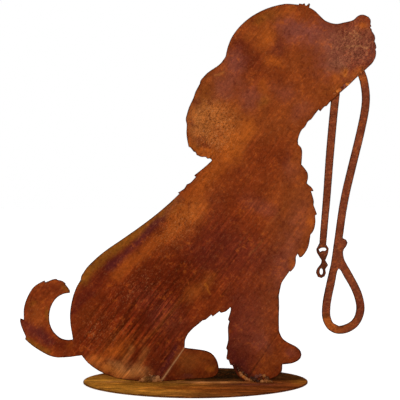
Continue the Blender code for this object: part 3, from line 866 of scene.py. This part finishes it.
def rust_material(name, streak, turn, streaks, speckle, rim):
    """Rust over a painted colour: blotches, grain, streaks along one direction, flecks and a dark rim.

    streak is a streak's length and width, and streaks, speckle and rim are strengths.
    """
    tree = Tree(name)
    place = tree.place()
    tint = tree.attribute("tint", "Color")
    edge = tree.attribute("edge", "Fac")
    streaky = tree.math("MULTIPLY", tree.attribute("streaky", "Fac"), streaks)
    flecks = tree.attribute("flecks", "Fac")

    broad = tree.noise(place, BROAD_NOISE, detail=6, roughness=0.6, distortion=0.5)
    blotch = tree.noise(place, BLOTCH_NOISE, detail=6, roughness=0.68, distortion=0.3)
    grain = tree.noise(place, GRAIN_NOISE, detail=4, roughness=0.7)
    length, width = streak
    along = tree.streak_place(place, turn, length, width)
    lines = tree.noise(along, 1, detail=3, roughness=0.55, distortion=0.6)
    along = tree.streak_place(place, turn, length * LONG_STREAK[0], width * LONG_STREAK[1])
    long_lines = tree.noise(along, 1, detail=2, roughness=0.5, distortion=0.2)
    along = tree.streak_place(place, turn, length * THIN_STREAK[0], width * THIN_STREAK[1])
    thin_lines = tree.noise(along, 1, detail=2, roughness=0.5, distortion=0.3)
    streaky = tree.math("MULTIPLY", streaky, tree.ramp(broad, low=0.36, high=0.58, start=0.35))

    def scaled(shade, value, factors, strength):
        """The shade multiplied by the first factor where the value is low, by the second where high."""
        factor = tree.grey(tree.ramp(value, *NOISE_RANGE, *factors))
        return tree.mix(strength, shade, tree.mix(1.0, shade, factor, "MULTIPLY"))

    def tinged(shade, colour, amount, strength):
        """The shade with some of a colour over it."""
        return tree.mix(tree.math("MULTIPLY", amount, strength), shade, (*RUST[colour], 1))

    shade = scaled(tint, broad, BROAD_SHADE, 1.0)
    shade = scaled(shade, blotch, BLOTCH_SHADE, 1.0)
    shade = scaled(shade, lines, STREAK_SHADE, streaky)
    shade = scaled(shade, long_lines, LONG_STREAK_SHADE, streaky)
    shade = scaled(shade, thin_lines, THIN_STREAK_SHADE, streaky)
    high_blotch, high_broad = tree.ramp(blotch, low=0.5, high=0.66), tree.ramp(broad, low=0.44, high=0.6)
    shade = tinged(shade, "orange", tree.math("MULTIPLY", high_blotch, high_broad), ORANGE_STRENGTH)
    low_blotch, low_broad = tree.ramp(blotch, low=0.48, high=0.36), tree.ramp(broad, low=0.52, high=0.4)
    shade = tinged(shade, "maroon", tree.math("MULTIPLY", low_blotch, low_broad), VIOLET_STRENGTH)
    grainy = tree.ramp(flecks, low=0.2, high=0.9, start=0.45, end=1.7)
    shade = scaled(shade, grain, GRAIN_SHADE, tree.math("MULTIPLY", grainy, speckle))
    fine = tree.noise(tree.streak_place(place, turn, *FLECK), 1, detail=3, roughness=0.7, distortion=0.4)
    bright = tree.math("MULTIPLY", tree.ramp(fine, low=0.54, high=0.68), flecks)
    shade = tinged(shade, "worn", bright, BRIGHT_STRENGTH)
    dark = tree.math("MULTIPLY", tree.ramp(fine, low=0.47, high=0.34), flecks)
    shade = tinged(shade, "umber", dark, DARK_STRENGTH)
    rough_edge = tree.math("ADD", edge, tree.ramp(blotch, *NOISE_RANGE, start=-0.6, end=0.6))
    rim_amount = tree.ramp(rough_edge, low=0.4, high=2.0, start=rim, end=0.0)
    shade = tree.mix(rim_amount, shade, (*RUST["umber"], 1))

    height = tree.math("ADD", tree.math("MULTIPLY", blotch, 0.6), tree.math("MULTIPLY", grain, 0.4))
    shader = tree.shader
    tree.put(shader.inputs["Base Color"], shade)
    tree.put(shader.inputs["Roughness"], tree.ramp(blotch, *NOISE_RANGE, start=0.92, end=0.7))
    tree.put(shader.inputs["Normal"], tree.bump(height, 0.5, RUST_DEPTH))
    shader.inputs["Specular IOR Level"].default_value = 0.0
    shader.inputs["Metallic"].default_value = 0.0
    return tree.material


def streak_amount(points):
    """How strongly the sheet is streaked: most on the rump, little elsewhere."""
    amount = np.full(len(points), PLAIN_STREAKS)
    for *shape, strength in STREAKED:
        amount = np.maximum(amount, ellipse_weight(points / MM, *shape) * strength)
    return amount


def crease_ridge(points):
    """The worn ridge along the hind crease and the groove along the front one."""
    hind, _ = line_distance(points, HIND_CREASE)
    paw, _ = line_distance(points, PAW_CREASE)
    ridge = np.exp(-(hind / RIDGE[0]) ** 2) * RIDGE[1]
    groove = np.exp(-(paw / GROOVE[0]) ** 2) * GROOVE[1]
    return (ridge - groove) * MM


def crease_colour(points, tint):
    """Adds a painted highlight on the ridge of the hind crease, wider below, and a dark line of painted
    shade and dirt along the front one.
    """
    for crease, colour, width, strength in CREASE_PAINT:
        away, t = line_distance(points, crease)
        weight = (np.exp(-(away / (width * (1 - CREASE_TAPER * t))) ** 2) * strength)[:, None]
        tint = tint * (1 - weight) + np.array(RUST[colour]) * weight
    return tint


def back_areas(rng):
    """Areas of rust for the figure's back, which the photograph doesn't show."""
    areas = []
    for _ in range(BACK_AREAS):
        colour = rng.choice(BACK_COLOURS)
        x, z = rng.uniform(*BACK_X), rng.uniform(*BACK_Z)
        half_length, half_width = rng.uniform(*BACK_LENGTH), rng.uniform(*BACK_WIDTH)
        areas.append((colour, x, z, half_length, half_width, BACK_TURN, rng.uniform(*BACK_STRENGTH)))
    return areas


def dog():
    """The figure's sheet."""
    loops = cad_loops("dog_sheet", facing=(0, -1, 0), across=0, up=2)
    lines = [HIND_CREASE, PAW_CREASE]
    verts, faces, flat, side, distance = cut_sheet(loops, SHEET_GRID, lines, dog_depth, SHEET, 0,
                                                   SHEET_SEED, crease_ridge)
    tint = np.zeros((len(flat), 3))
    front = side < 1        # the cut edges are painted with the front
    painted_front = painted(flat[front], "red_brown", FRONT_AREAS, FRONT_BANDS, FRONT_PAINT)
    tint[front] = crease_colour(flat[front], painted_front)
    areas = back_areas(random.Random(BACK_SEED))
    tint[~front] = painted(flat[~front], "red_brown", areas, (), BACK_PAINT)
    material = rust_material("sheet_rust_look", SHEET_STREAK, STREAK_TURN,
                             streaks=0.6, speckle=0.5, rim=0.85)
    piece = mesh_object("sheet_piece", verts, faces, material, tint=tint, edge=distance,
                        streaky=streak_amount(flat), flecks=fleck_amount(flat, FLECKED))
    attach(piece, "root")
    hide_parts("dog_sheet")


def lead():
    """The lead, one flat cut piece behind the sheet."""
    low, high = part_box("lead")
    loops = cad_loops("lead", facing=(0, -1, 0), across=0, up=2)
    verts, faces, flat, _, distance = cut_sheet(loops, LEAD_GRID, [], flat_depth, high.y - low.y,
                                                (low.y + high.y) / 2, LEAD_SEED)
    tint = painted(flat, "strap", LEAD_AREAS, (), LEAD_PAINT)
    material = rust_material("lead_rust_look", LEAD_STREAK, 0, streaks=0.3, speckle=0.7, rim=0.95)
    piece = mesh_object("lead_piece", verts, faces, material, tint=tint, edge=distance,
                        streaky=np.full(len(flat), LEAD_STREAKS), flecks=np.full(len(flat), LEAD_FLECKS))
    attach(piece, "root")
    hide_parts("lead")


def plate():
    """The round base plate: made like an upright sheet, then laid flat with its front up."""
    low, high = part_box("base_plate")
    loops = cad_loops("base_plate", facing=(0, 0, 1), across=0, up=1)
    verts, faces, flat, _, distance = cut_sheet(loops, PLATE_GRID, [], flat_depth, high.z - low.z, 0,
                                                PLATE_SEED)
    verts = np.stack((verts[:, 0], verts[:, 2], (low.z + high.z) / 2 - verts[:, 1]), axis=1)
    verts[:, 2] = np.maximum(verts[:, 2], low.z)
    tint = painted(flat, "bark", PLATE_AREAS, (), PLATE_PAINT)
    material = rust_material("plate_rust_look", PLATE_STREAK, 0, streaks=0.6, speckle=1.0, rim=0.8)
    piece = mesh_object("plate_piece", verts, faces, material, tint=tint, edge=distance,
                        streaky=np.ones(len(flat)), flecks=np.full(len(flat), PLATE_FLECKS))
    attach(piece, "root")
    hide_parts("base_plate")


def weld(node, lumps, on_plate):
    """A weld made of lumps of metal that ran together, in front of the sheet.

    Lumps on the plate have their heights above its top, the others above the floor.
    """
    mesh = bpy.data.meshes.new(node + "_lumps")
    bm = bmesh.new()
    centres = []
    for x, out, up, radius, colour in lumps:
        z = up * MM + FLOOR_OF_WELDS if on_plate else up * MM
        depth, _ = dog_depth(np.array([(x * MM, z)]))
        centre = Vector((x * MM, depth[0] - SHEET / 2 - out * MM, z))
        centres.append(centre)
        made = bmesh.ops.create_icosphere(bm, subdivisions=3, radius=radius * MM)
        bmesh.ops.translate(bm, verts=made["verts"], vec=centre)
    bm.to_mesh(mesh)
    bm.free()
    rough = bpy.data.objects.new(node + "_lumps", mesh)
    bpy.context.scene.collection.objects.link(rough)
    remesh = rough.modifiers.new("voxels", "REMESH")
    remesh.mode = "VOXEL"
    remesh.voxel_size = WELD_VOXEL
    settle = rough.modifiers.new("settle", "SMOOTH")
    settle.factor = 0.5
    settle.iterations = 3
    solid = rough.evaluated_get(bpy.context.evaluated_depsgraph_get()).to_mesh()
    verts = np.array([v.co for v in solid.vertices])
    normals = np.array([v.normal for v in solid.vertices])
    faces = [tuple(face.vertices) for face in solid.polygons]
    rough.to_mesh_clear()
    bpy.data.objects.remove(rough)
    bumps = np.array([noise.fractal(Vector(v) / WELD_ROUGH_SIZE, *FRACTAL) for v in verts])
    verts = verts + normals * (bumps * WELD_ROUGH)[:, None]
    tint = np.zeros((len(verts), 3))
    total = np.zeros((len(verts), 1))
    for (*_, radius, colour), centre in zip(lumps, centres):
        away = np.linalg.norm(verts - np.array(centre), axis=1) / (radius * LUMP_PAINT * MM)
        weight = np.exp(-away ** 2)[:, None]
        tint += np.array(RUST[colour]) * weight
        total += weight
    tint /= np.maximum(total, TINY)
    material = weld_material(node + "_look")
    piece = mesh_object(node + "_piece", verts, faces, material, tint=tint)
    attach(piece, "root")
    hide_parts(node)


def weld_material(name):
    """Dull weld metal: the lumps' colour with soot in its low places and bright grain."""
    tree = Tree(name)
    place = tree.place()
    tint = tree.attribute("tint", "Color")
    fine = tree.noise(place, WELD_GRAIN_NOISE, detail=4, roughness=0.65, distortion=0.4)
    coarse = tree.noise(place, WELD_BLOTCH_NOISE, detail=4, roughness=0.6, distortion=0.4)
    soot = tree.ramp(coarse, low=0.5, high=0.38, end=0.6)
    crests = tree.ramp(fine, low=0.54, high=0.68, end=0.7)
    shade = tree.mix(soot, tint, (*RUST["umber"], 1))
    shade = tree.mix(crests, shade, (*RUST["sand"], 1))
    shader = tree.shader
    tree.put(shader.inputs["Base Color"], shade)
    tree.put(shader.inputs["Roughness"], tree.ramp(coarse, *NOISE_RANGE, start=0.75, end=0.5))
    tree.put(shader.inputs["Normal"], tree.bump(fine, 0.6, RUST_DEPTH))
    shader.inputs["Specular IOR Level"].default_value = 0.15
    shader.inputs["Metallic"].default_value = 0.0
    return tree.material


def studio():
    """A white floor, a white surround that is dimmer overhead, and two soft lamps in front."""
    mesh = bpy.data.meshes.new("floor")
    bm = bmesh.new()
    bmesh.ops.create_circle(bm, cap_ends=True, segments=FLOOR_CORNERS, radius=FLOOR_RADIUS)
    bm.to_mesh(mesh)
    bm.free()
    floor = bpy.data.objects.new("floor", mesh)
    bpy.context.scene.collection.objects.link(floor)
    tree = Tree("floor_white")
    tree.shader.inputs["Base Color"].default_value = (FLOOR_WHITE, FLOOR_WHITE, FLOOR_WHITE, 1)
    tree.shader.inputs["Roughness"].default_value = FLOOR_ROUGHNESS
    tree.shader.inputs["Emission Color"].default_value = WHITE
    tree.shader.inputs["Emission Strength"].default_value = FLOOR_GLOW
    mesh.materials.append(tree.material)

    world = bpy.data.worlds.new("surround")
    world.use_nodes = True
    nodes = world.node_tree.nodes
    links = world.node_tree.links
    direction = nodes.new("ShaderNodeTexCoord")
    parts = nodes.new("ShaderNodeSeparateXYZ")
    fade = nodes.new("ShaderNodeMapRange")
    for key, value in DIMMING.items():
        fade.inputs[key].default_value = value
    links.new(direction.outputs["Generated"], parts.inputs[0])
    links.new(parts.outputs["Z"], fade.inputs["Value"])
    links.new(fade.outputs[0], nodes["Background"].inputs["Strength"])
    nodes["Background"].inputs["Color"].default_value = WHITE
    bpy.context.scene.world = world

    for name, place, size, watts in LAMPS:
        lamp = bpy.data.lights.new(name, "AREA")
        lamp.size = size
        lamp.energy = watts
        holder = bpy.data.objects.new(name, lamp)
        holder.location = place
        aim = Vector(LAMP_AIM) - Vector(place)
        holder.rotation_euler = aim.to_track_quat("-Z", "Y").to_euler()
        bpy.context.scene.collection.objects.link(holder)
    bpy.context.scene.view_settings.view_transform = "Standard"


def camera():
    """The photograph's view."""
    data = bpy.data.cameras.new("photo_view")
    data.sensor_width = SENSOR_WIDTH
    data.lens = SENSOR_WIDTH * -CAMERA_PLACE[1] / PHOTO_WIDTH
    data.clip_end = VIEW_DEPTH
    view = bpy.data.objects.new("photo_view", data)
    view.location = CAMERA_PLACE
    view.rotation_euler = (math.radians(90), 0, 0)
    bpy.context.scene.collection.objects.link(view)
    bpy.context.scene.camera = view


def main():
    noise.seed_set(WARP_SEED)
    camera()
    studio()
    dog()
    lead()
    plate()
    weld("weld_rump", RUMP_LUMPS, True)
    weld("weld_front_leg", LEG_LUMPS, True)
    weld("weld_strap_rear", REAR_TACK_LUMPS, False)
    weld("weld_strap_front", FRONT_TACK_LUMPS, False)


main()
